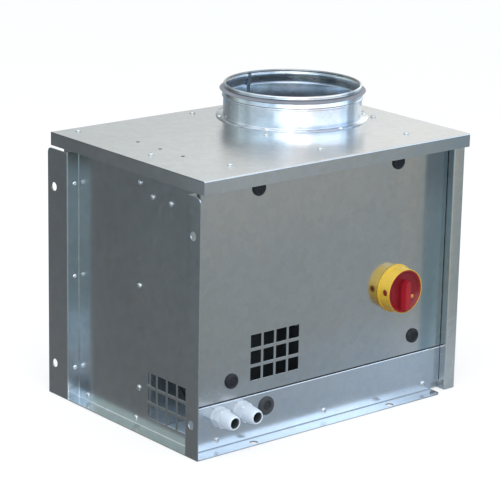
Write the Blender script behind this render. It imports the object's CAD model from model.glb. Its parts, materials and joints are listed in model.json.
"""A duct fan in a galvanised sheet housing with rubber-sealed round spigots.

The housing stands on z = 0, its width along X. The door, kick panel, cable glands and isolator
face the front (-Y). The outlet spigot rises from the lid, the inlet spigot points back (+Y).
Meshes are measured in mm and scaled by MM. Shader coordinates, lights and camera are in metres.
"""

import bpy
import bmesh
import json
import math
import random
from mathutils import Vector, Matrix


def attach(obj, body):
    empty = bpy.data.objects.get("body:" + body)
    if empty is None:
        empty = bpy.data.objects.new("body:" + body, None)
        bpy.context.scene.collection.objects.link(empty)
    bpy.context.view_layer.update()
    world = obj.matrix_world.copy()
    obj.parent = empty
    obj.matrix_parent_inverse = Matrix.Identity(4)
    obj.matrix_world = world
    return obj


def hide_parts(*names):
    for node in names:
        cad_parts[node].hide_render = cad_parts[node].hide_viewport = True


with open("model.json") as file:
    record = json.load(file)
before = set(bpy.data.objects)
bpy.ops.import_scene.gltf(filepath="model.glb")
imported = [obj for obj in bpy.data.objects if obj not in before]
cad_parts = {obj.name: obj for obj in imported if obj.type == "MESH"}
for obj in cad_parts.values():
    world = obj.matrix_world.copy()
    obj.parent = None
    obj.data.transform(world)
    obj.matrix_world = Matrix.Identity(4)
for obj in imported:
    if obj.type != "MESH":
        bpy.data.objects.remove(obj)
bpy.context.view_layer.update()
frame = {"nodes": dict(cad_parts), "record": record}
random.seed(7)
scene = bpy.context.scene
MM = 0.001

# Driving places and sizes, mm
SHEET = 1.5
LEFT_X = -221.0
RIGHT_X = 221.0
LID_Z = 380.6
DOOR_Y = -147
KICK_Y = -146.4
STEP_Y = 127.4                    # rear step of the left wall
BACK_Y = 163.5
OUTLET_X, OUTLET_Y = 104.8, 58.1
INLET_X, INLET_Z = -20, 199.5
GROMMET_X, GROMMET_Z = -105.2, 43
SEAT_GAP = 0.02                   # between a fastener and its sheet


# ------------------------------------------------------------------ shader nodes
class Nodes:
    """Builds the node tree of a material or world; plain colours are (r, g, b)."""

    def __init__(self, owner, output, coordinates="Object"):
        owner.use_nodes = True
        self.tree = owner.node_tree
        self.tree.nodes.clear()
        self.output = self.node(output)
        self.place = self.node("ShaderNodeTexCoord").outputs[coordinates]

    def node(self, kind, **settings):
        node = self.tree.nodes.new(kind)
        for key, value in settings.items():
            setattr(node, key, value)
        return node

    def link(self, source, target):
        self.tree.links.new(source, target)

    def put(self, socket, value):
        if hasattr(value, "links"):
            self.link(value, socket)
        elif socket.type == "RGBA":
            socket.default_value = (*value, 1.0)
        else:
            socket.default_value = value

    def noise(self, scale, detail=3.0, rough=0.5, place=None, output="Fac"):
        node = self.node("ShaderNodeTexNoise")
        self.link(place or self.place, node.inputs["Vector"])
        node.inputs["Scale"].default_value = scale
        node.inputs["Detail"].default_value = detail
        node.inputs["Roughness"].default_value = rough
        return node.outputs[output]

    def voronoi(self, scale, place, feature="F1", output="Color"):
        node = self.node("ShaderNodeTexVoronoi", feature=feature)
        self.link(place, node.inputs["Vector"])
        node.inputs["Scale"].default_value = scale
        return node.outputs[output]

    def math(self, operation, first, second=0.0):
        node = self.node("ShaderNodeMath", operation=operation)
        self.put(node.inputs[0], first)
        self.put(node.inputs[1], second)
        return node.outputs[0]

    def chain(self, operation, first, *others):
        for other in others:
            first = self.math(operation, first, other)
        return first

    def mul(self, *values):
        return self.chain("MULTIPLY", *values)

    def add(self, *values):
        return self.chain("ADD", *values)

    def sub(self, first, second):
        return self.math("SUBTRACT", first, second)

    def radius(self, u, v):
        return self.math("SQRT", self.add(self.mul(u, u), self.mul(v, v)))

    def span(self, value, source, target, soft=False):
        """Maps the source range onto the target range, held level beyond it."""
        node = self.node("ShaderNodeMapRange")
        node.clamp = True
        if soft:
            node.interpolation_type = "SMOOTHSTEP"
        self.put(node.inputs["Value"], value)
        for key, number in zip(("From Min", "From Max", "To Min", "To Max"), (*source, *target)):
            node.inputs[key].default_value = number
        return node.outputs[0]

    def rise(self, value, start, end, soft=False):
        """0 at start, 1 at end."""
        return self.span(value, (start, end), (0.0, 1.0), soft)

    def fall(self, value, start, end, soft=False):
        """1 at start, 0 at end."""
        return self.span(value, (start, end), (1.0, 0.0), soft)

    def mix(self, factor, first, second, blend="MIX"):
        node = self.node("ShaderNodeMix", data_type="RGBA", blend_type=blend)
        for index, value in ((0, factor), (6, first), (7, second)):
            self.put(node.inputs[index], value)
        return node.outputs[2]

    def scale(self, vector, factor):
        node = self.node("ShaderNodeVectorMath", operation="SCALE")
        self.link(vector, node.inputs[0])
        self.put(node.inputs["Scale"], factor)
        return node.outputs[0]

    def lines(self, stretch):
        """Noise drawn out into lines by a scale per axis."""
        node = self.node("ShaderNodeMapping")
        self.link(self.place, node.inputs["Vector"])
        node.inputs["Scale"].default_value = stretch
        return node.outputs[0]

    def split(self, vector):
        node = self.node("ShaderNodeSeparateXYZ")
        self.link(vector, node.inputs[0])
        return node.outputs

    def angle_ramp(self, angle, stops, peak, interpolation):
        """Colour by angle from (degrees, colour) stops, divided by the peak to fit the ramp."""
        ramp = self.node("ShaderNodeValToRGB")
        self.link(self.rise(angle, -math.pi, math.pi), ramp.inputs[0])
        ramp.color_ramp.interpolation = interpolation
        elements = ramp.color_ramp.elements
        while len(elements) > 1:
            elements.remove(elements[-1])
        for index, (degrees, color) in enumerate(stops):
            position = (degrees + 180) / 360
            if index:
                element = elements.new(position)
            else:
                element = elements[0]
                element.position = position
            element.color = (*[c / peak for c in color], 1)
        return ramp.outputs[0]

    def shader(self, kind, color):
        node = self.node(kind)
        self.put(node.inputs[0], color)
        return node.outputs[0]

    def mix_shader(self, factor, first, second):
        node = self.node("ShaderNodeMixShader")
        for socket, value in zip(node.inputs, (factor, first, second)):
            self.put(socket, value)
        return node.outputs[0]


class Look(Nodes):
    """A material with one principled surface."""

    def __init__(self, name):
        self.material = bpy.data.materials.new(name)
        super().__init__(self.material, "ShaderNodeOutputMaterial")
        surface = self.node("ShaderNodeBsdfPrincipled")
        self.link(surface.outputs[0], self.output.inputs[0])
        self.inputs = surface.inputs

    def set(self, **values):
        """Sets surface inputs, with underscores for the spaces in their names."""
        for key, value in values.items():
            self.put(self.inputs[key.replace("_", " ")], value)

    def bump(self, height, strength, distance):
        node = self.node("ShaderNodeBump")
        node.inputs["Strength"].default_value = strength
        node.inputs["Distance"].default_value = distance
        self.link(height, node.inputs["Height"])
        self.set(Normal=node.outputs[0])

    def source(self, key):
        return self.inputs[key].links[0].from_socket

    def gain(self, factor):
        """Brightens or darkens the base colour."""
        self.set(Base_Color=self.scale(self.source("Base Color"), factor))

    def tint(self, *stops):
        """Multiplies the base colour by a tint blended through (mask, colour) steps."""
        base = self.source("Base Color")
        color = (1.0, 1.0, 1.0)
        for mask, step in stops:
            color = self.mix(mask, color, step)
        self.set(Base_Color=self.mix(1.0, base, color, "MULTIPLY"))


def times(color, *gains):
    """The colour times one gain, or one gain per channel."""
    return tuple(c * g for c, g in zip(color, gains * 3 if len(gains) == 1 else gains))


# ------------------------------------------------------------------ kinds of material
def galvanised(name, base, rough, cell=0.011, mottle=0.028, vein=0.012, grime=0.035,
               bumpy=0.012, metallic=1.0):
    """Zinc crystals of the cell size (m) with lighter borders, clouding and rolling lines."""
    look = Look(name)
    warp = look.node("ShaderNodeVectorMath", operation="ADD")
    look.link(look.place, warp.inputs[0])
    wander = look.noise(60, detail=2, output="Color")
    look.link(look.scale(wander, 0.006), warp.inputs[1])
    place = warp.outputs[0]
    shade, hue, gloss = look.split(look.voronoi(1.0 / cell, place))
    border = look.voronoi(1.0 / cell, place, feature="DISTANCE_TO_EDGE", output="Distance")
    small = look.split(look.voronoi(2.6 / cell, place))[0]
    cloud = look.noise(5.0, detail=4, rough=0.55)
    fine = look.noise(420.0, detail=2, rough=0.6)
    # Each crystal is a little lighter or darker, warmer or cooler
    crystals = look.mul(
        look.span(shade, (0, 1), (1 - mottle, 1 + mottle)),
        look.span(small, (0, 1), (1 - mottle * 0.45, 1 + mottle * 0.45)))
    clouding = look.mul(
        look.span(cloud, (0.3, 0.7), (1 - grime, 1 + grime * 0.5)),
        look.span(border, (0.0, 0.06), (1 + vein, 1.0)))
    hues = look.mix(look.rise(hue, 0, 1), times(base, 1.012, 0.998, 0.985),
                    times(base, 0.985, 1.0, 1.02))
    look.set(Base_Color=look.scale(hues, look.mul(crystals, clouding)), Metallic=metallic)
    # Crystals differ in gloss, clouds are duller, rolling lines show faintly
    rolling = look.noise(1.0, detail=2, rough=0.6, place=look.lines((14, 900, 900)))
    look.set(Roughness=look.add(
        look.span(gloss, (0, 1), (rough - 0.015, rough + 0.015)),
        look.span(cloud, (0.35, 0.75), (-0.01, 0.03)),
        look.span(rolling, (0.60, 0.75), (0.0, 0.008))))
    facets = look.mul(look.add(look.mul(shade, 0.6), look.mul(border, 1.5)), 0.5)
    waves = look.mul(look.noise(9.0, detail=2), 1.5)
    height = look.add(facets, look.mul(fine, 0.35), waves)
    look.bump(height, strength=bumpy, distance=0.0006)
    return look


def metal(name, base, rough, grain=300.0, bumpy=0.08, lines=None):
    """Plain metal; lines is a stretch per axis that adds drawn or stacked lines."""
    look = Look(name)
    height = look.noise(grain, rough=0.6)
    clouds = look.rise(look.noise(18.0), 0.3, 0.7)
    look.set(Base_Color=look.mix(clouds, times(base, 0.94), times(base, 1.06)), Metallic=1.0,
             Roughness=look.span(height, (0.25, 0.75), (rough - 0.05, rough + 0.07)))
    if lines:
        drawn = look.noise(1.0, detail=2, place=look.lines(lines))
        height = look.add(height, look.mul(drawn, 1.5))
    look.bump(height, strength=bumpy, distance=0.0004)
    return look


def plastic(name, base, rough, grain=900.0, bumpy=0.10, vary=0.06, coat=0.0, spec=0.5,
            sss=0.0, wear=None):
    """Moulded plastic or rubber; wear is the colour of its rubbed edges."""
    look = Look(name)
    skin = look.noise(grain, rough=0.6)
    clouds = look.noise(35.0, rough=0.55)
    smudges = look.noise(7.0, detail=2)
    color = look.mix(look.rise(clouds, 0.3, 0.7), times(base, 1 - vary), times(base, 1 + vary))
    if wear:
        pointiness = look.node("ShaderNodeNewGeometry").outputs["Pointiness"]
        rubbed = look.mul(look.rise(pointiness, 0.52, 0.6),
                          look.span(clouds, (0.4, 0.65), (0.1, 0.8)))
        color = look.mix(rubbed, color, wear)
    look.set(Base_Color=color, Specular_IOR_Level=spec, Coat_Weight=coat, Coat_Roughness=0.2,
             Roughness=look.span(smudges, (0.3, 0.7), (rough - 0.04, rough + 0.06)))
    look.bump(skin, strength=bumpy, distance=0.00025)
    if sss:
        look.inputs["Subsurface Weight"].default_value = sss
        look.inputs["Subsurface Radius"].default_value = (0.002, 0.002, 0.002)
    return look


DRAWN_ZINC = dict(base=(0.66, 0.71, 0.76), rough=0.14, cell=0.007, mottle=0.045, metallic=0.88)
GALVANISED = {
    "front": dict(base=(0.575, 0.59, 0.59), rough=0.155),
    "side": dict(base=(0.58, 0.61, 0.62), rough=0.24),
    "lid": dict(base=(0.70, 0.715, 0.72), rough=0.24, cell=0.012),
    "kick": dict(base=(0.71, 0.74, 0.77), rough=0.24, mottle=0.02, vein=0.008, grime=0.025,
                 bumpy=0.007),
    "floor": dict(base=(0.62, 0.66, 0.70), rough=0.30, metallic=0.75),
    "plate": dict(base=(0.30, 0.32, 0.34), rough=0.34, cell=0.009, mottle=0.06, metallic=0.85),
    "outlet": DRAWN_ZINC,
    "inner": dict(base=(0.55, 0.57, 0.58), rough=0.30, cell=0.009, mottle=0.06, metallic=0.8),
    "spigot": DRAWN_ZINC,
}
METAL = {
    "cast": ("cast_alloy", dict(base=(0.50, 0.51, 0.52), rough=0.5, grain=700, bumpy=0.25)),
    "lam": ("lamination_steel", dict(base=(0.22, 0.23, 0.24), rough=0.5, lines=(40, 2400, 40),
                                     bumpy=0.35)),
    "copper": ("copper_winding", dict(base=(0.55, 0.25, 0.12), rough=0.35,
                                      lines=(500, 900, 500), bumpy=0.5)),
    "steel": ("bright_steel", dict(base=(0.68, 0.69, 0.70), rough=0.22, lines=(60, 60, 60),
                                   bumpy=0.03)),
    "zinc": ("zinc_fastener", dict(base=(0.66, 0.68, 0.70), rough=0.34, grain=500, bumpy=0.05)),
    "zinc_dull": ("zinc_fastener_dull", dict(base=(0.60, 0.63, 0.63), rough=0.55, grain=500,
                                             bumpy=0.05)),
    "rivet": ("rivet_aluminium", dict(base=(0.86, 0.88, 0.91), rough=0.30, grain=500,
                                      bumpy=0.05)),
    "can": ("capacitor_can", dict(base=(0.70, 0.71, 0.72), rough=0.34, lines=(20, 20, 900),
                                  bumpy=0.1)),
}
PLASTIC = {
    "rubber": ("rubber_seal", dict(base=(0.036, 0.039, 0.042), rough=0.62, grain=700, bumpy=0.2,
                                   vary=0.15, spec=0.3)),
    "seal": ("lip_rubber", dict(base=(0.17, 0.18, 0.21), rough=0.38, grain=500, bumpy=0.08,
                                vary=0.08)),
    "jacket": ("cable_jacket", dict(base=(0.03, 0.03, 0.032), rough=0.5, grain=600, bumpy=0.2)),
    "grey": ("grey_plastic", dict(base=(0.30, 0.31, 0.32), rough=0.5)),
    "white": ("white_plastic", dict(base=(0.72, 0.72, 0.69), rough=0.45)),
    "gland": ("gland_plastic", dict(base=(0.62, 0.68, 0.75), rough=0.36, grain=700, bumpy=0.05,
                                    vary=0.03, sss=0.1)),
    "black": ("black_plastic", dict(base=(0.018, 0.020, 0.024), rough=0.42, grain=650,
                                    bumpy=0.12, vary=0.12, spec=0.22, wear=(0.05, 0.05, 0.055))),
    "yellow": ("yellow_plastic", dict(base=(0.66, 0.43, 0.034), rough=0.32, grain=800,
                                      bumpy=0.05, vary=0.05, coat=0.1)),
    "red": ("red_plastic", dict(base=(0.33, 0.010, 0.018), rough=0.36, grain=800, bumpy=0.05,
                                vary=0.08, spec=0.4)),
    "dot": ("dot_plastic", dict(base=(0.62, 0.30, 0.03), rough=0.4, grain=800, bumpy=0.05)),
    "winding": ("winding_lace", dict(base=(0.6, 0.5, 0.3), rough=0.5)),   # on no piece yet
}
looks = {key: galvanised("galvanised_" + key, **values) for key, values in GALVANISED.items()}
looks.update({key: metal(name, **values) for key, (name, values) in METAL.items()})
looks.update({key: plastic(name, **values) for key, (name, values) in PLASTIC.items()})


# ------------------------------------------------------------------ shading by place, metres
def shade_door(look, x, y, z):
    """Lighter right of the middle, a darker blue strip down the right edge."""
    edge = look.rise(x, 0.1735, 0.1835, soft=True)
    low_rim = look.mul(look.rise(x, 0.192, 0.206), look.span(z, (0.14, 0.30), (1.0, 0.4)))
    inner_strip = look.mul(edge, look.fall(x, 0.198, 0.212), look.rise(z, 0.14, 0.24))
    look.tint((look.rise(x, 0.10, 0.165, soft=True), (1.16, 1.09, 1.03)),
              (edge, (0.76, 0.87, 0.90)),
              (low_rim, (0.98, 1.08, 1.10)),
              (inner_strip, (0.86, 0.91, 0.94)),
              (look.mul(edge, look.rise(z, 0.25, 0.335, soft=True)), (0.58, 0.63, 0.66)))
    # Duller along the bottom edge at the left
    worn = look.mul(look.span(z, (0.078, 0.098), (0.13, 0.0), soft=True),
                    look.fall(x, -0.125, -0.095))
    look.set(Roughness=look.add(look.source("Roughness"), worn))


def shade_sides(look, x, y, z):
    """Bright bends at the rear step of the left wall, a lighter front flange on the right."""
    inner_bend = look.fall(look.radius(look.add(x, 0.2208), look.sub(y, 0.1272)), 0.0006, 0.0016)
    outer_bend = look.fall(look.radius(look.add(x, 0.2399), look.sub(y, 0.1280)), 0.0008, 0.0016)
    step = look.mul(look.fall(x, -0.2190, -0.2188), look.rise(y, 0.088, 0.106, soft=True),
                    look.fall(y, 0.1292, 0.1296))
    flange = look.mul(look.rise(x, 0.2212, 0.2220), look.fall(y, -0.1570, -0.1560))
    look.tint((flange, (1.42, 1.26, 1.13)),
              (look.mul(step, look.rise(z, 0.165, 0.075, soft=True)), (1.36, 1.42, 1.50)),
              (look.mul(step, look.rise(z, 0.045, 0.016, soft=True)), (0.88, 0.94, 1.0)),
              (look.mul(step, look.rise(z, 0.320, 0.362, soft=True)), (0.62, 0.60, 0.56)),
              (inner_bend, (1.30, 1.28, 1.26)),
              (outer_bend, (1.5, 1.5, 1.5)))


def shade_kick(look, x, y, z):
    """Dirt in the fold of the foot, the foot darker towards its right end and at its holes."""
    fold = look.mul(look.rise(y, -0.1486, -0.1478), look.fall(z, 0.0024, 0.0030))
    along = look.add(look.span(x, (-0.16, 0.0), (0.0, 0.20), soft=True),
                     look.span(x, (0.05, 0.185), (0.0, -0.56), soft=True))
    foot = look.mul(look.fall(y, -0.1486, -0.1478), along)
    holes = [look.span(look.radius(look.sub(x, hole_x), look.add(y, 0.1605)),
                       (0.0057, 0.0063), (0.45, 1.0)) for hole_x in (-0.1374, 0.1116)]
    look.gain(look.mul(look.span(fold, (0, 1), (1.0, 0.62)), look.add(foot, 1.0),
                       look.chain("MINIMUM", *holes)))


def shade_rubber(look, x, y, z):
    """The grommet's membrane is duller than its rim."""
    from_axis = look.radius(look.sub(x, GROMMET_X * MM) if GROMMET_X > 0
                            else look.add(x, -GROMMET_X * MM), look.sub(z, GROMMET_Z * MM))
    membrane = look.mul(look.fall(y, -0.1460, -0.1450),
                        look.span(from_axis, (0.0064, 0.0074), (0.42, 0.0)))
    look.gain(look.sub(1.28, membrane))


# Direction away from the viewer in plan; depth runs along it from the outlet axis
VIEW_X, VIEW_Y = 0.64, 0.768


def from_outlet(look, x, y):
    return look.sub(x, OUTLET_X * MM), look.sub(y, OUTLET_Y * MM)


def view_depth(look, u, v):
    return look.add(look.mul(u, VIEW_X), look.mul(v, VIEW_Y))


def shade_lid(look, x, y, z):
    """Darker back, front skirt and spare holes; lighter patch in front of the outlet."""
    forward = look.add(look.mul(x, 0.35), look.mul(y, -1.0))
    look.gain(look.span(forward, (-0.22, 0.16), (0.90, 1.03), soft=True))
    skirt = look.mul(look.fall(y, -0.1710, -0.1700), look.fall(z, 0.3788, 0.3800))
    holes = [look.fall(look.radius(look.add(x, 0.1755), look.sub(y, hole_y)), 0.0026, 0.0030)
             for hole_y in (-0.0473, 0.0027, 0.0527)]
    u, v = from_outlet(look, x, y)
    depth = view_depth(look, u, v)
    aside = look.math("ABSOLUTE", look.sub(look.mul(u, VIEW_Y), look.mul(v, VIEW_X)))
    mirrored = look.mul(look.fall(aside, 0.045, 0.098, soft=True),
                        look.rise(depth, -0.27, -0.15, soft=True),
                        look.rise(depth, -0.105, -0.135))
    look.tint((mirrored, (1.22, 1.23, 1.23)), (skirt, (0.83, 0.86, 0.88)),
              (look.chain("MAXIMUM", *holes), (0.10, 0.10, 0.10)))


def shade_knob(look, x, y, z):
    """The dish is duller than the grip bar."""
    look.gain(look.span(y, (-0.1690, -0.1655), (1.0, 0.62), soft=True))


def shade_ring(look, x, y, z):
    """Duller low down."""
    look.tint((look.fall(z, 0.135, 0.185, soft=True), (0.68, 0.55, 0.40)))


# Streaks round the outlet wall: degrees from the side facing the viewer, grey or colour gain
FACING = -130.8
STREAKS = [
    (-80, 0.50), (-66, 0.42), (-57, 0.62), (-50, 0.80), (-44, 0.97), (-39, 0.84), (-34, 1.15),
    (-29, 1.22), (-24, 1.05), (-18, 0.85), (-12, 0.78), (-5, 0.98), (5, (1.12, 1.02, 0.97)),
    (18, (1.32, 1.18, 1.09)), (40, (1.22, 1.10, 1.04)), (50, 1.2), (53, 0.72), (60, 0.78),
    (64, 1.2), (72, 1.4), (84, 1.4),
]
# The rest of the wall: degrees from +X, grey or colour gain
FAR_STREAKS = [(-30, 0.85), (0, (0.74, 0.83, 0.90)), (50, (0.72, 0.80, 0.87)),
               (100, (0.76, 0.86, 0.94)), (128, 0.9)]
STREAK_PEAK = 1.5


def shade_outlet(look, x, y, z):
    """Drawn streaks round the wall, dull and bright bands inside the mouth."""
    u, v = from_outlet(look, x, y)
    turn = look.math("ARCTAN2", v, u)
    stops = [(((angle + FACING + 180) % 360) - 180, gain) for angle, gain in STREAKS]
    stops = sorted(stops + FAR_STREAKS, key=lambda stop: stop[0])
    stops = [(angle, gain if isinstance(gain, tuple) else (gain,) * 3) for angle, gain in stops]
    streaks = look.angle_ramp(turn, stops, STREAK_PEAK, "LINEAR")
    look.set(Base_Color=look.mix(1.0, look.source("Base Color"), streaks, "MULTIPLY"))
    look.gain(STREAK_PEAK)
    # Bands by height on the half away from the viewer
    back = look.rise(view_depth(look, *from_outlet(look, x, y)), 0.0, 0.03)
    rim = look.mul(back, look.rise(z, 0.4250, 0.4253))
    ledge = look.mul(back, look.mul(look.rise(z, 0.4238, 0.4241), look.fall(z, 0.4248, 0.4251)))
    low_band = look.mul(look.rise(z, 0.4086, 0.4089), look.fall(z, 0.4103, 0.4106))
    wall = look.mul(look.rise(z, 0.4106, 0.4112), look.fall(z, 0.4238, 0.4241))
    streak = look.add(look.mul(look.fall(turn, 0.80, 0.95), look.rise(turn, 0.42, 0.50)),
                      look.fall(turn, 0.10, 0.20))
    front_arc = look.mul(look.rise(turn, -2.35, -2.15), look.fall(turn, -1.40, -1.15))
    foot = look.mul(look.fall(z, 0.3850, 0.3895, soft=True), front_arc)
    look.tint((rim, (0.58, 0.52, 0.47)),
              (look.mul(back, look.mul(wall, streak)), (1.9, 1.8, 1.7)),
              (look.mul(back, low_band), (0.60, 0.58, 0.60)),
              (ledge, (1.95, 1.62, 1.42)),
              (foot, (0.66, 0.75, 0.86)))


for key, shade_by_place in (("front", shade_door), ("side", shade_sides), ("kick", shade_kick),
                            ("rubber", shade_rubber), ("lid", shade_lid), ("red", shade_knob),
                            ("yellow", shade_ring), ("outlet", shade_outlet)):
    shade_by_place(looks[key], *looks[key].split(looks[key].place))

# Look of each CAD node
FINISHES = {
    "inner": ("front_top_rail", "right_door_post", "scroll_wrap", "inlet_cone",
              "capacitor_clip", "din_rail"),
    "plate": ("motor_plate",),
    "cast": ("motor_frame", "motor_front_shield", "motor_rear_shield", "impeller_hub"),
    "lam": ("stator_core", "rotor_core"),
    "copper": ("stator_windings",),
    "steel": ("bearing_outer_rings", "bearing_inner_rings", "bearing_balls", "motor_shaft",
              "switch_shaft"),
    "zinc": ("motor_bolts", "impeller_bolt", "hub_rivets", "side_screws", "kick_screws"),
    "zinc_dull": ("lid_screws",),
    "rivet": ("panel_rivets",),
    "spigot": ("impeller_back_disc", "impeller_blades", "impeller_shroud", "outlet_spigot",
               "inlet_spigot"),
    "can": ("capacitor",),
    "grey": ("terminal_box", "terminal_box_lid"),
    "white": ("terminal_blocks", "switch_base"),
    "jacket": ("motor_cable", "switch_cable"),
    "gland": ("gland_bodies", "gland_caps", "gland_locknuts"),
    "rubber": ("gland_inserts", "cable_grommet", "door_gasket"),
    "yellow": ("switch_ring",),
    "red": ("switch_handle",),
    "black": ("lock_collars", "lock_lower_left", "lock_lower_right", "lock_upper_left",
              "lock_upper_right"),
    "lid": ("lid",),
    "side": ("left_side_panel", "right_side_panel", "back_panel"),
    "floor": ("floor_pan",),
    "kick": ("kick_panel",),
    "front": ("front_door",),
    "seal": ("outlet_seal", "inlet_seal"),
}
material_of = {node: looks[key].material for key, nodes in FINISHES.items() for node in nodes}
body_of = {node: body for body, nodes in frame["record"]["behaviour"]["bodies"].items()
           for node in nodes}
for node, cad_object in frame["nodes"].items():
    slots = cad_object.data.materials
    for i in range(len(slots)):
        slots[i] = material_of[node]
    if not slots:
        slots.append(material_of[node])


# ------------------------------------------------------------------ mesh helpers
def shade_smooth(mesh, sharp_angle):
    mesh.polygons.foreach_set("use_smooth", [True] * len(mesh.polygons))
    mesh.set_sharp_from_angle(angle=math.radians(sharp_angle))


def make_object(name, shape, material, sharp_angle):
    mesh = bpy.data.meshes.new(name)
    bmesh.ops.recalc_face_normals(shape, faces=shape.faces)
    shape.to_mesh(mesh)
    shape.free()
    shade_smooth(mesh, sharp_angle)
    made = bpy.data.objects.new(name, mesh)
    scene.collection.objects.link(made)
    mesh.materials.append(material)
    return made


def stand_in(made, node):
    """Puts an object in the place of a CAD node."""
    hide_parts(node)
    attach(made, body_of[node])


def make_part(name, shape, node, sharp_angle, material=None):
    made = make_object(name, shape, material or material_of[node], sharp_angle)
    stand_in(made, node)
    return made


def moved(shape, matrix):
    bmesh.ops.transform(shape, matrix=matrix, verts=shape.verts)
    return shape


def add_shape(target, shape, matrix=Matrix.Identity(4)):
    mesh = bpy.data.meshes.new("tmp")
    moved(shape, matrix).to_mesh(mesh)
    shape.free()
    target.from_mesh(mesh)
    bpy.data.meshes.remove(mesh)


def join_rings(shape, rings):
    """Faces from ring to ring, the last joined to the first; a lone vertex closes a cap."""
    for first, second in zip(rings, rings[1:] + rings[:1]):
        count = max(len(first), len(second))
        if count == 1:
            continue
        for i in range(count):
            j = (i + 1) % count
            if len(first) == 1:
                shape.faces.new((first[0], second[j], second[i]))
            elif len(second) == 1:
                shape.faces.new((first[i], first[j], second[0]))
            else:
                shape.faces.new((first[i], first[j], second[j], second[i]))


def lathe(profile, segments):
    """Revolves a closed (radius, z) profile in mm about Z."""
    shape = bmesh.new()
    rings = []
    for radius, z in profile:
        angles = [2 * math.pi * i / segments for i in range(segments)]
        if radius < 1e-6:
            angles = [0.0]
        rings.append([shape.verts.new((radius * MM * math.cos(angle),
                                       radius * MM * math.sin(angle), z * MM))
                      for angle in angles])
    join_rings(shape, rings)
    return shape


def rounded_box(size, center, bevel, segments=2, upright_only=False):
    """A box in mm with all edges bevelled, or only those along Z."""
    shape = bmesh.new()
    bmesh.ops.create_cube(shape, size=1.0)
    bmesh.ops.scale(shape, vec=Vector(size) * MM, verts=shape.verts)
    edges = [edge for edge in shape.edges
             if not upright_only or abs((edge.verts[0].co - edge.verts[1].co).z) > 1e-5]
    bmesh.ops.bevel(shape, geom=edges, offset=bevel * MM, segments=segments, affect="EDGES")
    bmesh.ops.translate(shape, vec=Vector(center) * MM, verts=shape.verts)
    return shape


AXIS_TURNS = {"z": (0, "X"), "-y": (90, "X"), "y": (-90, "X"), "-x": (-90, "Y"), "x": (90, "Y")}


def spin(degrees, axis="Z"):
    return Matrix.Rotation(math.radians(degrees), 4, axis)


def at(x, y, z, axis="z"):
    """Moves the origin to a point in mm and turns local Z along an axis."""
    return Matrix.Translation((x * MM, y * MM, z * MM)) @ spin(*AXIS_TURNS[axis])


def cad_shape(node):
    """The CAD node's shape without doubled points and flat-face edges."""
    shape = bmesh.new()
    shape.from_mesh(frame["nodes"][node].data)
    bmesh.ops.remove_doubles(shape, verts=shape.verts, dist=2e-6)
    bmesh.ops.dissolve_limit(shape, angle_limit=math.radians(0.6), verts=shape.verts,
                             edges=shape.edges)
    return shape


# ------------------------------------------------------------------ sheet metal
def on_line(point, axis, first, second, tolerance=0.06):
    i, j = {"x": (1, 2), "y": (0, 2), "z": (0, 1)}[axis]
    return abs(point[i] - first) < tolerance and abs(point[j] - second) < tolerance


def eased(node, folds, ease):
    """Bevels the hard edges; returns the object, its mesh and how far it outgrew the CAD, mm."""
    shape = cad_shape(node)
    layer = shape.edges.layers.float.new("bevel_weight_edge")
    widest = max([ease] + [fold[3] for fold in folds])
    for edge in shape.edges:
        if len(edge.link_faces) != 2 or edge.calc_face_angle(0) < math.radians(28):
            continue
        width = ease
        ends = [vert.co * 1000 for vert in edge.verts]
        for *line, fold_width in folds:
            if all(on_line(end, *line) for end in ends):
                width = fold_width
        edge[layer] = width / widest
    mesh = bpy.data.meshes.new(node + "_sheet")
    shape.to_mesh(mesh)
    shape.free()
    sheet = bpy.data.objects.new(node + "_sheet", mesh)
    scene.collection.objects.link(sheet)
    bevel = sheet.modifiers.new("ease", "BEVEL")
    bevel.limit_method = "WEIGHT"
    bevel.width = widest * MM
    bevel.segments = 3
    bevel.use_clamp_overlap = False
    depsgraph = bpy.context.evaluated_depsgraph_get()
    done = bpy.data.meshes.new_from_object(sheet.evaluated_get(depsgraph))
    growth = 0.0
    for i in range(3):
        old = [vert.co[i] for vert in frame["nodes"][node].data.vertices]
        new = [vert.co[i] for vert in done.vertices]
        growth = max(growth, max(new) - max(old), min(old) - min(new))
    sheet.modifiers.clear()
    sheet.data = done
    bpy.data.meshes.remove(mesh)
    return sheet, done, growth * 1000


def soften(node, folds=(), ease=0.28):
    """Gives a CAD sheet eased edges and rounded folds.

    folds: (axis of the line, its two other coordinates, bevel width), mm.
    """
    # Folds are narrowed until the bevel no longer spikes out of the CAD shape
    for share in (1.0, 0.6, 0.3, 0.0):
        scaled = [(*line, max(ease, width * share)) for *line, width in folds] if share else []
        sheet, mesh, growth = eased(node, scaled, ease)
        if growth < 0.25:
            break
        bpy.data.objects.remove(sheet)
        bpy.data.meshes.remove(mesh)
    mesh.name = node + "_sheet"
    mesh.polygons.foreach_set("use_smooth", [True] * len(mesh.polygons))
    normals = sheet.modifiers.new("wn", "WEIGHTED_NORMAL")
    normals.mode = "FACE_AREA"
    normals.keep_sharp = True
    normals.weight = 80
    mesh.materials.clear()
    mesh.materials.append(material_of[node])
    stand_in(sheet, node)


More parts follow.
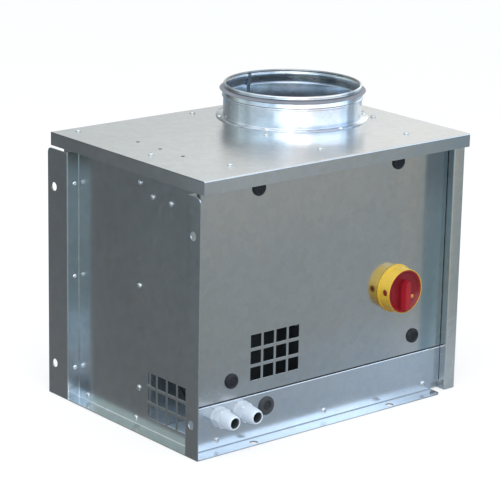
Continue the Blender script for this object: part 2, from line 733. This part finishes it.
LID_X, LID_Y = 237, 171.5         # half sizes of the lid
STEP_X = -240.5                   # left end of the left wall's flanges
FRONT_STEP_Y = -140.7
LID_FOLDS = []
for side in (-1, 1):
    LID_FOLDS += [("y", side * LID_X, LID_Z, 1.2), ("x", side * LID_Y, LID_Z, 1.2),
                  ("z", side * LID_X, -LID_Y, 1.2), ("z", side * LID_X, LID_Y, 1.2)]
soften("lid", LID_FOLDS)
soften("left_side_panel", [
    ("z", LEFT_X, STEP_Y, 1.5), ("z", LEFT_X + SHEET, STEP_Y + SHEET, 2.0),
    ("z", LEFT_X, FRONT_STEP_Y, 1.5), ("z", LEFT_X + SHEET, FRONT_STEP_Y - SHEET, 2.0),
    ("z", STEP_X, STEP_Y, 2.0), ("z", STEP_X + SHEET, STEP_Y + SHEET, 0.5),
    ("z", STEP_X, FRONT_STEP_Y, 2.0), ("z", STEP_X + SHEET, FRONT_STEP_Y - SHEET, 0.5),
    ("y", LEFT_X, SHEET, 1.6), ("y", LEFT_X + SHEET, 0, 2.0)])
soften("right_side_panel", [
    ("z", RIGHT_X, -158.5, 2.0), ("z", RIGHT_X + SHEET, -158.5 + SHEET, 0.5),
    ("z", RIGHT_X + SHEET, 172.2, 0.5), ("z", RIGHT_X, 172.2 + SHEET, 2.0),
    ("y", RIGHT_X, 0, 2.0), ("y", RIGHT_X + SHEET, SHEET, 0.5)])
soften("back_panel", [("z", LEFT_X, BACK_Y, 2.0)])
soften("floor_pan")
soften("kick_panel", [("x", KICK_Y, SHEET, 1.2), ("x", KICK_Y + SHEET, 0, 2.0)], ease=0.25)
soften("front_door", [("z", -224, DOOR_Y, 1.4), ("z", 220.4, DOOR_Y, 1.4),
                      ("x", DOOR_Y, 65.6, 1.4), ("x", DOOR_Y, 360, 1.4)])
for node, ease in (("motor_plate", 0.7), ("front_top_rail", 0.3), ("right_door_post", 0.3),
                   ("terminal_box", 0.7), ("terminal_box_lid", 0.7), ("switch_base", 0.7)):
    soften(node, ease=ease)

# ------------------------------------------------------------------ spigots
SPIGOT_R = 99.5
# Flange, bead, seal groove and rolled rim: (offset from SPIGOT_R, z)
SPIGOT = [
    (-1.2, 0.0), (9.95, 0.0), (10.25, 0.3), (10.25, 0.9), (9.95, 1.2), (1.6, 1.2), (0.7, 1.45),
    (0.2, 2.0), (0, 2.9), (0, 27.6), (0.25, 28.2), (1.3, 28.7), (1.75, 29.4), (1.8, 29.9),
    (1.75, 30.4), (1.3, 31.1), (0.25, 31.6), (0, 32.2), (0, 37.0), (-0.3, 37.7), (-1.7, 37.9),
    (-2.0, 38.3), (-2.0, 42.6), (-1.7, 43.0), (-0.3, 43.2), (0, 43.6), (0, 46.9), (-0.3, 47.7),
    (-0.9, 48.25), (-1.8, 48.4), (-2.6, 48.25), (-3.15, 47.7), (-3.35, 47.0), (-3.0, 46.6),
    (-2.4, 46.5), (-1.9, 46.0), (-1.8, 45.2), (-1.8, 44.2), (-2.2, 43.8), (-3.2, 43.5),
    (-3.4, 43.0), (-3.4, 37.9), (-3.1, 37.2), (-1.5, 36.8), (-1.2, 36.2), (-1.2, 32.4),
    (-0.9, 31.4), (0.2, 30.9), (0.45, 30.3), (0.45, 29.5), (0.2, 28.9), (-0.9, 28.4),
    (-1.2, 27.4), (-1.2, 0.9),
]
# Rubber ring, foot in the groove and two lips reaching out: (offset from SPIGOT_R, z)
SEAL = [
    (-1.9, 38.4), (-0.6, 38.4), (0.2, 38.6), (1.6, 38.2), (2.2, 38.3), (2.1, 38.8), (0.9, 39.5),
    (0.5, 39.9), (2.4, 39.6), (4.6, 39.3), (5.4, 39.45), (5.5, 39.8), (5.0, 40.15), (2.4, 41.0),
    (0.6, 41.9), (-0.3, 42.4), (-1.9, 42.5),
]
# Folded seam, two strips inside and a low one outside:
# offsets from SPIGOT_R in and out, z from and to, half width, bevel
SEAM = [(-4.0, -1.1, 29.0, 46.6, 3.0, 0.3), (-2.0, -1.1, 1.5, 29.5, 3.0, 0.3),
        (-0.05, 0.35, 3.0, 27.0, 2.6, 0.12)]
# Tucked end of the rolled rim: (radius, z)
TAB = [(0, -0.4), (1.1, -0.4), (1.2, 0.9), (1.8, 1.35), (2.7, 1.2), (3.1, 0.5), (3.1, -0.9),
       (0, -0.9)]


def spigot_lathe(offsets):
    return lathe([(SPIGOT_R + offset, z) for offset, z in offsets], 192)


def spigot(name, place, seam_angle, node, seal_node, material=None):
    shape = spigot_lathe(SPIGOT)
    for inside, outside, low, high, half, bevel in SEAM:
        strip = rounded_box((outside - inside, 2 * half, high - low),
                            (SPIGOT_R + (inside + outside) / 2, 0, (low + high) / 2), bevel)
        add_shape(shape, strip, spin(seam_angle))
    tab = lathe(TAB, 28)
    bmesh.ops.scale(tab, vec=(0.8, 1.25, 1.0), verts=tab.verts)
    moved(tab, spin(-90, "Y"))
    moved(tab, at(SPIGOT_R - 3.3, 0, 43.6))
    add_shape(shape, tab, spin(seam_angle - 86.5))
    make_part(name, moved(shape, place), node, 50, material)
    make_part(name + "_lip_seal", moved(spigot_lathe(SEAL), place), seal_node, 60)


spigot("outlet_collar", at(OUTLET_X, OUTLET_Y, LID_Z), 90.5, "outlet_spigot", "outlet_seal",
       looks["outlet"].material)
spigot("inlet_collar", at(INLET_X, BACK_Y, INLET_Z, "y"), 90, "inlet_spigot", "inlet_seal")


# ------------------------------------------------------------------ screws and rivets
def screw():
    """Pan head with a six-lobe recess."""
    head_r, head_h, shank_r, shank_h = 4.0, 2.3, 1.85, 5.0
    shape = lathe([
        (0, head_h - 1.3), (1.3, head_h - 1.3), (1.45, head_h - 0.02), (2.4, head_h - 0.12),
        (3.1, head_h - 0.38), (3.6, head_h - 0.8), (3.92, head_h - 1.4), (head_r, 0.25),
        (head_r - 0.12, 0.02), (shank_r + 0.1, 0.02), (shank_r, -0.2), (shank_r, 0.5 - shank_h),
        (shank_r - 0.5, -shank_h), (0, -shank_h)], 36)
    for vert in shape.verts:
        radius = math.hypot(vert.co.x, vert.co.y)
        if 1.2 * MM < radius < 1.5 * MM and vert.co.z > (head_h - 1.4) * MM:
            lobe = 1 + 0.16 * math.cos(6 * math.atan2(vert.co.y, vert.co.x))
            vert.co.x *= lobe
            vert.co.y *= lobe
    return shape


def rivet():
    """Domed pop rivet with a hollow middle."""
    return lathe([(0, 0.55), (0.75, 0.6), (0.95, 1.0), (1.25, 1.15), (2.2, 0.95), (2.9, 0.5),
                  (3.2, 0.08), (3.2, 0.0), (1.6, 0.0), (1.6, -3.3), (1.3, -3.6), (0, -3.6)], 32)


def fasteners(name, node, make, places):
    """One object of many fasteners, each turned at random about its axis."""
    shape = bmesh.new()
    for place in places:
        turn = Matrix.Rotation(random.uniform(0, 6.28), 4, "Z")
        add_shape(shape, make(), place @ turn)
    make_part(name, shape, node, 40)


LID_SCREWS = [(-204.5, 151.5), (-4, 151.5), (196, 151.5), (-204.8, -16), (-5, -16), (195, -16),
              (-154.7, -121), (2.6, -121), (162, -121)]                    # x, y
LEFT_SCREWS = [(-14, 344.2), (-42, 329.8), (-82, 329.1), (-14, 200.5), (-14, 55.4), (-7, 9.5),
               (105.9, 9.5)]                                               # y, z
RIGHT_SCREWS = LEFT_SCREWS[:1] + LEFT_SCREWS[3:]
RIVET_CIRCLE_R = 105.5
RIVET_SEAT = 1.2 + SEAT_GAP       # on top of the spigot flange

fasteners("lid_screw_heads", "lid_screws", screw,
          [at(x, y, LID_Z + SEAT_GAP) for x, y in LID_SCREWS])
fasteners("side_screw_heads", "side_screws", screw,
          [at(LEFT_X - SEAT_GAP, y, z, "-x") for y, z in LEFT_SCREWS]
          + [at(RIGHT_X + SHEET + SEAT_GAP, y, z, "x") for y, z in RIGHT_SCREWS])
fasteners("kick_screw_heads", "kick_screws", screw,
          [at(x, KICK_Y - SEAT_GAP, 13, "-y") for x in (-190, 0.1, 189.1)])
rivet_places = [at(-228, STEP_Y - SEAT_GAP, z, "-y") for z in (46.6, 180.7, 314)]
for degrees in range(30, 360, 60):
    across = RIVET_CIRCLE_R * math.cos(math.radians(degrees))
    along = RIVET_CIRCLE_R * math.sin(math.radians(degrees))
    rivet_places += [at(OUTLET_X + across, OUTLET_Y + along, LID_Z + RIVET_SEAT),
                     at(INLET_X + across, BACK_Y + RIVET_SEAT, INLET_Z - along, "y")]
fasteners("pop_rivets", "panel_rivets", rivet, rivet_places)


# ------------------------------------------------------------------ cable glands and grommet
def hexagon(across_flats, low, high, chamfer, bore):
    """Chamfered hexagon along Z with a round bore, mm."""
    shape = bmesh.new()
    sector = math.pi / 3
    corner = across_flats / 2 / math.cos(sector / 2)

    def ring(z, limit):
        """The hexagon cut off by a circle; a small enough circle is a round ring."""
        verts = []
        for i in range(96):
            angle = 2 * math.pi * i / 96
            off_flat = math.fmod(angle + sector / 2, sector) - sector / 2
            radius = min(across_flats / 2 / math.cos(off_flat), limit)
            verts.append(shape.verts.new((radius * math.cos(angle) * MM,
                                          radius * math.sin(angle) * MM, z * MM)))
        return verts

    join_rings(shape, [
        ring(low, corner - chamfer), ring(low + chamfer * 0.55, corner - 0.05),
        ring(high - chamfer * 0.55, corner - 0.05), ring(high, corner - chamfer),
        ring(high, bore), ring(low, bore)])
    return shape


GLAND_X, GLAND_PITCH, GLAND_Z = -189.2, 38.8, 46.5
BODY_BORE = 8.7
THREAD_PITCH = 1.5
# Profiles: (radius, z)
thread = [(BODY_BORE, -12.0), (9.6, -12.0)]
for i in range(8):
    z = -11.5 + THREAD_PITCH * i
    thread += [(9.95, z), (9.95, z + 0.35), (9.35, z + 0.75), (9.35, z + 1.1)]
thread += [(9.95, 0.2), (BODY_BORE, 0.2)]
COLLAR = [(BODY_BORE, 5.8), (10.5, 5.8), (10.5, 13.8), (10.1, 14.0), (BODY_BORE, 14.0)]
DOME = [(10.9, 15.5), (11.4, 15.8), (11.75, 16.6), (11.8, 18.4), (11.7, 21.0), (11.45, 24.0),
        (11.15, 27.4), (10.8, 30.4), (10.35, 33.2), (9.8, 35.2), (9.1, 36.6), (8.4, 37.2),
        (7.9, 37.3), (7.55, 37.0), (7.4, 36.3), (7.35, 31.0), (8.6, 30.7), (8.6, 15.5)]
INSERT = [(5.8, 7.0), (8.4, 7.0), (8.4, 29.9), (7.28, 30.1), (7.28, 35.7), (7.1, 36.0),
          (6.7, 35.9), (6.3, 35.2), (6.05, 33.5), (5.9, 29.8), (5.75, 28.0), (5.95, 26.0),
          (5.75, 24.0), (5.95, 22.0), (5.8, 20.0)]
GROMMET = [(0, 0.55), (3.0, 0.45), (4.8, 0.25), (5.6, 0.3), (6.3, 0.8), (6.7, 1.9), (7.1, 2.9),
           (7.8, 3.4), (9.0, 3.4), (11.0, 2.95), (12.4, 2.2), (13.0, 1.4), (13.15, 0.7),
           (13.1, 0.1), (10.4, 0.1), (10.4, -1.6), (12.4, -1.6), (12.4, -2.7), (9.3, -4.4),
           (7.2, -4.4), (6.7, -0.8), (0, -0.8)]

bodies, domes, nuts, inserts = [bmesh.new() for _ in range(4)]
for i in range(2):
    place = at(GLAND_X + GLAND_PITCH * i, KICK_Y, GLAND_Z, "-y")
    add_shape(bodies, hexagon(25, 0.05, 6.0, chamfer=1.3, bore=BODY_BORE), place @ spin(30))
    add_shape(bodies, lathe(thread, 64), place)
    add_shape(bodies, lathe(COLLAR, 64), place)
    # Hexagonal skirt running into a smooth cone
    add_shape(domes, hexagon(24, 6.3, 16.6, chamfer=0.9, bore=10.9), place @ spin(30 + 9 * i))
    add_shape(domes, lathe(DOME, 96), place)
    add_shape(nuts, hexagon(25, -6.5, -1.6, chamfer=0.8, bore=10.05), place @ spin(12))
    add_shape(inserts, lathe(INSERT, 48), place)
make_part("gland_hex_bodies", bodies, "gland_bodies", 30)
make_part("gland_dome_nuts", domes, "gland_caps", 30)
make_part("gland_lock_nuts", nuts, "gland_locknuts", 30)
make_part("gland_rubber_inserts", inserts, "gland_inserts", 40)
make_part("membrane_grommet", moved(lathe(GROMMET, 72), at(GROMMET_X, KICK_Y, GROMMET_Z, "-y")),
          "cable_grommet", 50)

# ------------------------------------------------------------------ quarter-turn locks
# node: x, z, side the cam points to
LOCKS = {"lock_lower_left": (-167.2, 91.1, 1), "lock_lower_right": (163.4, 91.1, -1),
         "lock_upper_left": (-126, 350.8, 1), "lock_upper_right": (124, 350.8, -1)}
# Round head with a shallow dish, nut behind the sheet: (radius, z)
LOCK_HEAD = [(5.62, -5.9), (5.62, 3.35), (5.9, 3.75), (6.5, 3.95), (7.6, 3.85), (9.0, 3.4),
             (10.0, 2.6), (10.5, 1.6), (10.6, 0.7), (10.5, 0.05), (7.0, 0.05), (7.0, -1.6),
             (9.2, -1.65), (9.2, -5.2), (8.8, -5.9)]
LOCK_INSERT = [(0, 3.5), (4.6, 3.5), (5.1, 3.35), (5.5, 2.9), (5.5, -6.1), (6.8, -6.1),
               (7.0, -6.3), (7.0, -7.7), (0, -7.7)]


def lock_insert(cam_side):
    """Core with two raised grip walls in front and a cam behind."""
    shape = lathe(LOCK_INSERT, 64)
    for side in (-1, 1):
        add_shape(shape, rounded_box((1.5, 7.6, 1.2), (side * 1.9, 0, 3.7), 0.35))
    add_shape(shape, rounded_box((30.3, 10.8, 2.4), (cam_side * 9.75, 0, -8.95), 3.0,
                                 segments=5, upright_only=True))
    return shape


heads = bmesh.new()
for x, z, _ in LOCKS.values():
    add_shape(heads, lathe(LOCK_HEAD, 72), at(x, DOOR_Y, z, "-y"))
make_part("lock_heads", heads, "lock_collars", 50)
for node, (x, z, cam_side) in LOCKS.items():
    make_part(node + "_insert", moved(lock_insert(cam_side), at(x, DOOR_Y, z, "-y")), node, 35)

# ------------------------------------------------------------------ isolator
ISOLATOR_X, ISOLATOR_Z = 126.6, 168.4
ISOLATOR = at(ISOLATOR_X, DOOR_Y, ISOLATOR_Z, "-y")
# Foot against the door, straight wall, thin rounded rim: (radius, z)
RING = [(9.45, 0.05), (34.1, 0.05), (34.4, 0.35), (34.4, 1.5), (34.0, 1.95), (32.4, 2.1),
        (31.9, 2.4), (31.6, 3.2), (31.6, 20.6), (31.45, 21.15), (31.1, 21.5), (30.7, 21.45),
        (30.4, 21.1), (30.3, 20.5), (30.3, 3.0), (9.45, 3.0)]
# Rim, dished floor and hollow back of the knob: (radius, z)
KNOB = [(0, 16.0), (20.5, 16.0), (23.4, 16.15), (24.8, 16.6), (26.0, 17.6), (27.6, 19.6),
        (28.3, 20.55), (28.8, 21.0), (29.3, 21.1), (29.8, 20.8), (30.0, 20.3), (30.0, 4.2),
        (28.3, 4.2), (28.3, 17.6), (24.4, 13.4), (9.4, 13.4), (9.4, -3.0), (0, -3.0)]
# Grip bar stations: depth, half width, reach of the lower end.
# The width tapers evenly over the last 11 mm; the lower end slopes from 20.5.
BAR = [(13.6, 7.3, 28.4), (16.0, 7.0, 28.4), (17.2, 6.75, 28.4),
       (20.5, 6.75 - 2.0 * (20.5 - 17.2) / 11.0, 28.4), (28.2, 4.75, 24.0)]
BAR_TIP = 17


def isolator_ring():
    """The yellow ring with a round eye cut through its left wall."""
    ring = make_part("isolator_ring", moved(lathe(RING, 144), ISOLATOR), "switch_ring", 35)
    eye = bpy.data.meshes.new("eye")
    shape = moved(lathe([(0, -6), (4.6, -6), (4.6, 6), (0, 6)], 48),
                  at(ISOLATOR_X - 31, -159.9, ISOLATOR_Z + 1, "x"))
    shape.to_mesh(eye)
    shape.free()
    cutter = bpy.data.objects.new("eye_cut", eye)
    scene.collection.objects.link(cutter)
    cut = ring.modifiers.new("eye", "BOOLEAN")
    cut.operation = "DIFFERENCE"
    cut.object = cutter
    cut.solver = "EXACT"
    depsgraph = bpy.context.evaluated_depsgraph_get()
    mesh = bpy.data.meshes.new_from_object(ring.evaluated_get(depsgraph))
    ring.modifiers.clear()
    uncut = ring.data
    ring.data = mesh
    bpy.data.meshes.remove(uncut)
    bpy.data.objects.remove(cutter)
    shade_smooth(mesh, 35)


def grip_bar():
    """Bar tapering to the front, pointed at the top, its foot held inside the dish wall."""
    bar = bmesh.new()
    rows = []
    for depth, half, reach in BAR:
        shoulder = BAR_TIP - 8.5 * half / 7.5
        tip = BAR_TIP - 0.02 * (depth - 13.6)
        outline = [(-half, -reach), (half, -reach), (half, shoulder), (0, tip),
                   (-half, shoulder)]
        rows.append([bar.verts.new((u * MM, v * MM, depth * MM)) for u, v in outline])
    for back, front in zip(rows, rows[1:]):
        for i in range(5):
            j = (i + 1) % 5
            bar.faces.new((back[i], back[j], front[j], front[i]))
    bar.faces.new(rows[-1])
    bar.faces.new(list(reversed(rows[0])))
    bmesh.ops.recalc_face_normals(bar, faces=bar.faces)
    bmesh.ops.dissolve_limit(bar, angle_limit=math.radians(0.5), verts=bar.verts,
                             edges=bar.edges)
    edges = [edge for edge in bar.edges
             if len(edge.link_faces) == 2 and edge.calc_face_angle(0) > math.radians(25)
             and max(vert.co.z for vert in edge.verts) > 17.5 * MM]
    bmesh.ops.bevel(bar, geom=edges, offset=0.8 * MM, segments=3, affect="EDGES")
    for vert in bar.verts:
        radius = math.hypot(vert.co.x, vert.co.y)
        limit = (28.9 if vert.co.z < 21 * MM else 28.6) * MM
        if radius > limit:
            vert.co.x *= limit / radius
            vert.co.y *= limit / radius
    return bar


isolator_ring()
knob = lathe(KNOB, 144)
add_shape(knob, grip_bar())
make_part("isolator_knob", moved(knob, ISOLATOR), "switch_handle", 32)
# Round inlay in the dish, low on the right
marker = make_object(
    "isolator_marker",
    moved(lathe([(0, 15.8), (2.9, 15.8), (2.9, 16.2), (2.6, 16.4), (0, 16.45)], 40),
          at(ISOLATOR_X + 18.2, DOOR_Y, ISOLATOR_Z - 11.4, "-y")),
    looks["dot"].material, 35)
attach(marker, "isolator_handle")

# Door gasket with a lip below the door edge
gasket = cad_shape("door_gasket")
add_shape(gasket, rounded_box((414, 1.5, 2.2), (-9.0, -144.5, 64.75), 0.3))
make_part("door_gasket_and_lip", gasket, "door_gasket", 30)


# ------------------------------------------------------------------ studio floor
def reflected_floor(nodes):
    """Floor colour as the metal sees it, by place in metres."""
    geometry = nodes.node("ShaderNodeNewGeometry")
    x, y, _ = nodes.split(geometry.outputs["Position"])
    # Pale and slightly blue close by, mid grey further out
    right = nodes.rise(x, -0.1, 0.45, soft=True)
    near = nodes.mix(right, (0.33, 0.39, 0.45), (0.43, 0.53, 0.65))
    middle = nodes.mix(right, (0.345, 0.375, 0.38), (0.38, 0.42, 0.44))
    seen = nodes.mix(nodes.rise(y, -0.22, -0.50, soft=True), near, middle)
    seen = nodes.mix(nodes.rise(y, -0.72, -1.15, soft=True), seen, (0.44, 0.455, 0.45))
    # Darker band mirrored in the door's right edge. Door x where the camera sees a floor point:
    # camera at x -1.9615, 2.189 in front of the door, its mirror image at y 2.042
    scaled_x = nodes.mul(nodes.add(x, 1.9615), 2.189)
    door_x = nodes.sub(nodes.math("DIVIDE", scaled_x, nodes.sub(2.042, y)), 1.9615)
    band = nodes.mul(nodes.rise(door_x, 0.170, 0.192, soft=True),
                     nodes.span(y, (-0.24, -0.5), (0.25, 1.0), soft=True))
    seen = nodes.mix(band, seen, (0.19, 0.27, 0.315))
    # Darker on the left of the housing
    left = nodes.rise(x, -0.222, -0.245, soft=True)
    away = nodes.sub(-0.221, x)
    dark = nodes.mix(nodes.rise(away, 0.15, 0.75, soft=True), (0.178, 0.188, 0.196),
                     (0.135, 0.144, 0.152))
    ahead = nodes.sub(y, nodes.mul(away, 1.2))
    left_color = nodes.mix(nodes.rise(ahead, -0.24, -0.36, soft=True), dark, (0.31, 0.40, 0.45))
    return nodes.mix(left, seen, left_color)


def floor_material():
    """Near white to the camera, shaded by place in reflections, mid grey to other light."""
    material = bpy.data.materials.new("studio_floor")
    nodes = Nodes(material, "ShaderNodeOutputMaterial")
    rays = nodes.node("ShaderNodeLightPath").outputs
    paper = nodes.mix(nodes.noise(3.0, detail=2), (0.90, 0.90, 0.90), (0.93, 0.93, 0.93))
    to_camera = nodes.mix_shader(0.62, nodes.shader("ShaderNodeBsdfDiffuse", paper),
                                 nodes.shader("ShaderNodeEmission", (1, 1, 1)))
    to_others = nodes.mix_shader(rays["Is Glossy Ray"],
                                 nodes.shader("ShaderNodeBsdfDiffuse", (0.55, 0.56, 0.57)),
                                 nodes.shader("ShaderNodeEmission", reflected_floor(nodes)))
    nodes.link(nodes.mix_shader(rays["Is Camera Ray"], to_others, to_camera),
               nodes.output.inputs[0])
    return material


floor_mesh = bpy.data.meshes.new("studio_floor")
floor_mesh.from_pydata([(-9, -9, 0), (9, -9, 0), (9, 9, 0), (-9, 9, 0)], [], [(0, 1, 2, 3)])
floor = bpy.data.objects.new("studio_floor", floor_mesh)
floor.location = (0, 0, -0.0006)
scene.collection.objects.link(floor)
floor_mesh.materials.append(floor_material())

# ------------------------------------------------------------------ world
# Surroundings: degrees from the front (-Y) towards +X, colour
SURROUNDINGS = [
    (-180, (0.56, 0.62, 0.64)), (-140, (0.70, 0.84, 0.82)), (-105, (0.55, 0.68, 0.76)),
    (-78, (0.90, 1.16, 1.36)), (-58, (0.95, 1.2, 1.4)), (-40, (2.1, 2.15, 2.2)),
    (-18, (2.2, 2.25, 2.3)), (-4, (1.15, 1.38, 1.6)), (25, (1.30, 1.6, 1.92)),
    (40, (1.35, 1.66, 2.0)), (56, (1.0, 1.25, 1.5)), (72, (0.68, 0.84, 1.0)),
    (90, (0.75, 0.85, 0.92)), (112, (1.0, 1.0, 0.99)), (127, (1.06, 1.04, 1.0)),
    (136, (0.96, 0.96, 0.94)), (143, (0.76, 0.79, 0.79)), (152, (0.60, 0.64, 0.64)),
    (170, (0.54, 0.60, 0.61)), (180, (0.56, 0.62, 0.64)),
]
SURROUNDINGS_PEAK = 2.4


def build_world():
    """White to the camera; to other rays a ring of surroundings, pale above, grey below."""
    world = bpy.data.worlds.new("studio")
    scene.world = world
    nodes = Nodes(world, "ShaderNodeOutputWorld", coordinates="Generated")
    x, y, z = nodes.split(nodes.place)
    compass = nodes.math("ARCTAN2", x, nodes.mul(y, -1.0))
    ring = nodes.angle_ramp(compass, SURROUNDINGS, SURROUNDINGS_PEAK, "EASE")
    sky = nodes.mix(nodes.rise(z, 0.38, 0.75, soft=True), nodes.scale(ring, SURROUNDINGS_PEAK),
                    (0.95, 0.97, 1.0))
    color = nodes.mix(nodes.rise(z, -0.02, 0.03, soft=True), (0.35, 0.36, 0.36), sky)
    camera_ray = nodes.node("ShaderNodeLightPath").outputs["Is Camera Ray"]
    nodes.link(nodes.mix_shader(camera_ray, nodes.shader("ShaderNodeBackground", color),
                                nodes.shader("ShaderNodeBackground", (1, 1, 1))),
               nodes.output.inputs[0])


build_world()


# ------------------------------------------------------------------ lights and camera
def area_light(name, place, target, size, power, specular, color=(1, 1, 1)):
    data = bpy.data.lights.new(name, "AREA")
    data.shape = "RECTANGLE"
    data.size, data.size_y = size
    data.energy = power
    data.color = color
    data.specular_factor = specular
    light = bpy.data.objects.new(name, data)
    light.location = place
    aim = Vector(target) - Vector(place)
    light.rotation_euler = aim.to_track_quat("-Z", "Y").to_euler()
    scene.collection.objects.link(light)
    return light


area_light("soft_top", (-0.6, -0.5, 2.4), (0, 0, 0.2), size=(2.2, 2.2), power=26, specular=0.3)
area_light("soft_left", (-2.2, -1.6, 1.6), (0, 0, 0.2), size=(1.6, 1.6), power=10, specular=0.2)
# Small fills inside the housing
area_light("bay_fill", (-0.165, -0.088, 0.030), (-0.165, -0.088, 0.0), size=(0.09, 0.09),
           power=0.022, specular=0.3, color=(0.66, 0.86, 1.0)).visible_camera = False
area_light("door_bay_fill", (-0.06, -0.137, 0.16), (-0.06, 0.0, 0.15), size=(0.12, 0.10),
           power=0.013, specular=0.0, color=(0.85, 0.93, 1.0)).visible_camera = False


def build_camera():
    yaw, pitch, roll = map(math.radians, (-39.7897139, -16.1742432, 1.1433524))
    forward = Vector((-math.sin(yaw) * math.cos(pitch), math.cos(yaw) * math.cos(pitch),
                      math.sin(pitch)))
    level = Vector((math.cos(yaw), math.sin(yaw), 0))
    upright = level.cross(forward)
    right = math.cos(roll) * level + math.sin(roll) * upright
    up = -math.sin(roll) * level + math.cos(roll) * upright
    data = bpy.data.cameras.new("camera")
    camera = bpy.data.objects.new("camera", data)
    scene.collection.objects.link(camera)
    data.sensor_width = 36.0
    data.lens = 161.8654752
    data.shift_x = -0.001017
    data.shift_y = 0.0099076
    data.clip_start = 0.05
    data.clip_end = 50
    turn = Matrix((right, up, -forward)).transposed().to_4x4()
    camera.matrix_world = Matrix.Translation((-1.9615306, -2.3359085, 1.0876146)) @ turn
    scene.camera = camera


build_camera()
scene.view_settings.view_transform = "Standard"
scene.view_settings.look = "None"

bpy.context.view_layer.update()
